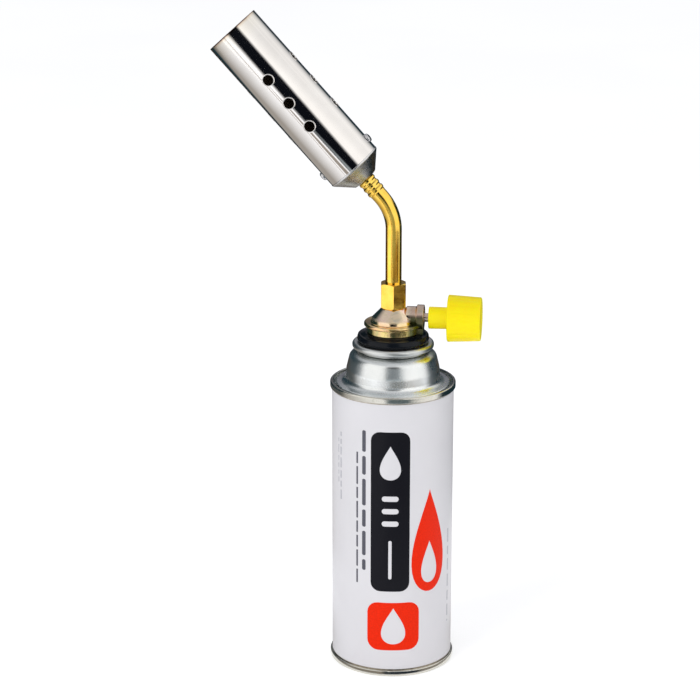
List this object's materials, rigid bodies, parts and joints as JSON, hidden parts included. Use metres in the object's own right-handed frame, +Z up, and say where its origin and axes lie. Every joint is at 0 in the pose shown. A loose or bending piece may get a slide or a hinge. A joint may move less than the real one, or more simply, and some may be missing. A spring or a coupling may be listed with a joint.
{
  "type": "gas torch",
  "caption": "Hand gas torch on a disposable gas cartridge: side knob valve, bent brass tube and a slanted steel burner barrel with air holes.",
  "frame": {"origin": "centre of the cartridge's foot, on the surface it stands on", "axes": "+Z up the cartridge's axis, +X along the valve spindle towards the knob; the burner leans towards -X in the XZ plane"},
  "size_m": [0.142, 0.067, 0.3532],
  "materials": {
    "printed_can": "white lacquered sheet with a printed label",
    "tinplate": "bright rolled tinplate",
    "collar_steel": "bright pressed collar",
    "black_rubber": "matt rubber",
    "valve_plastic": "natural moulded plastic",
    "spring_steel": "drawn wire",
    "ring_plastic": "glossy black moulding",
    "plated_steel": "zinc plated",
    "brass": "polished and lacquered",
    "turned_brass": "turned",
    "sintered_bronze": "porous",
    "chromated_metal": "yellow chromate over zinc",
    "spindle_steel": "turned and plated",
    "yellow_plastic": "moulded, faint sheen",
    "polished_stainless": "mirror polished tube",
    "cap_steel": "pressed, satin",
    "burner_steel": "heat-dulled"
  },
  "bodies": {
    "cartridge": {"can_body": "printed_can", "can_base": "tinplate", "can_shoulder": "tinplate", "cup_gasket": "black_rubber", "valve_cup": "tinplate", "locating_collar": "collar_steel", "can_valve_housing": "valve_plastic", "stem_gasket": "black_rubber", "can_valve_spring": "spring_steel", "vapour_tube": "valve_plastic"},
    "cartridge_stem": {"can_valve_stem": "valve_plastic"},
    "torch_head": {"mount_ring": "ring_plastic", "bayonet_plate": "plated_steel", "bayonet_screws": "plated_steel", "inlet_socket": "turned_brass", "inlet_o_ring": "black_rubber", "inlet_filter": "sintered_bronze", "valve_body": "chromated_metal", "gland_bush": "turned_brass", "tube_nut": "brass", "ferrule": "turned_brass", "burner_tube": "brass", "jet_holder": "brass", "cap_nut": "turned_brass", "gas_jet": "turned_brass", "mixing_tube": "burner_steel", "flame_holder": "burner_steel", "burner_cap": "cap_steel", "burner_barrel": "polished_stainless", "barrel_screws": "plated_steel"},
    "spindle_carrier": {"spindle_o_ring": "black_rubber"},
    "knob": {"spindle": "spindle_steel", "knob": "yellow_plastic", "knob_screw": "plated_steel", "knob_plug": "yellow_plastic"}
  },
  "joints": [
    {"name": "torch_twist", "type": "hinge", "parent": "cartridge", "child": "torch_head", "pos_m": [0, 0, 0.1793], "axis": [0, 0, 1], "range_deg": [0, 40]},
    {"name": "stem_press", "type": "slide", "parent": "cartridge", "child": "cartridge_stem", "axis": [0, 0, 1], "range_m": [-0.0008, 0], "stiffness_N_per_m": 3000, "springref_m": 0.003, "deforming": ["can_valve_spring"]},
    {"name": "spindle_travel", "type": "slide", "parent": "torch_head", "child": "spindle_carrier", "axis": [1, 0, 0], "range_m": [0, 0.0016]},
    {"name": "knob_turn", "type": "hinge", "parent": "spindle_carrier", "child": "knob", "pos_m": [0, 0, 0.1925], "axis": [1, 0, 0], "range_deg": [0, 720]}
  ],
  "couplings": [
    {"joint": "knob_turn", "follows": "spindle_travel", "rad_per_m": 7854}
  ]
}
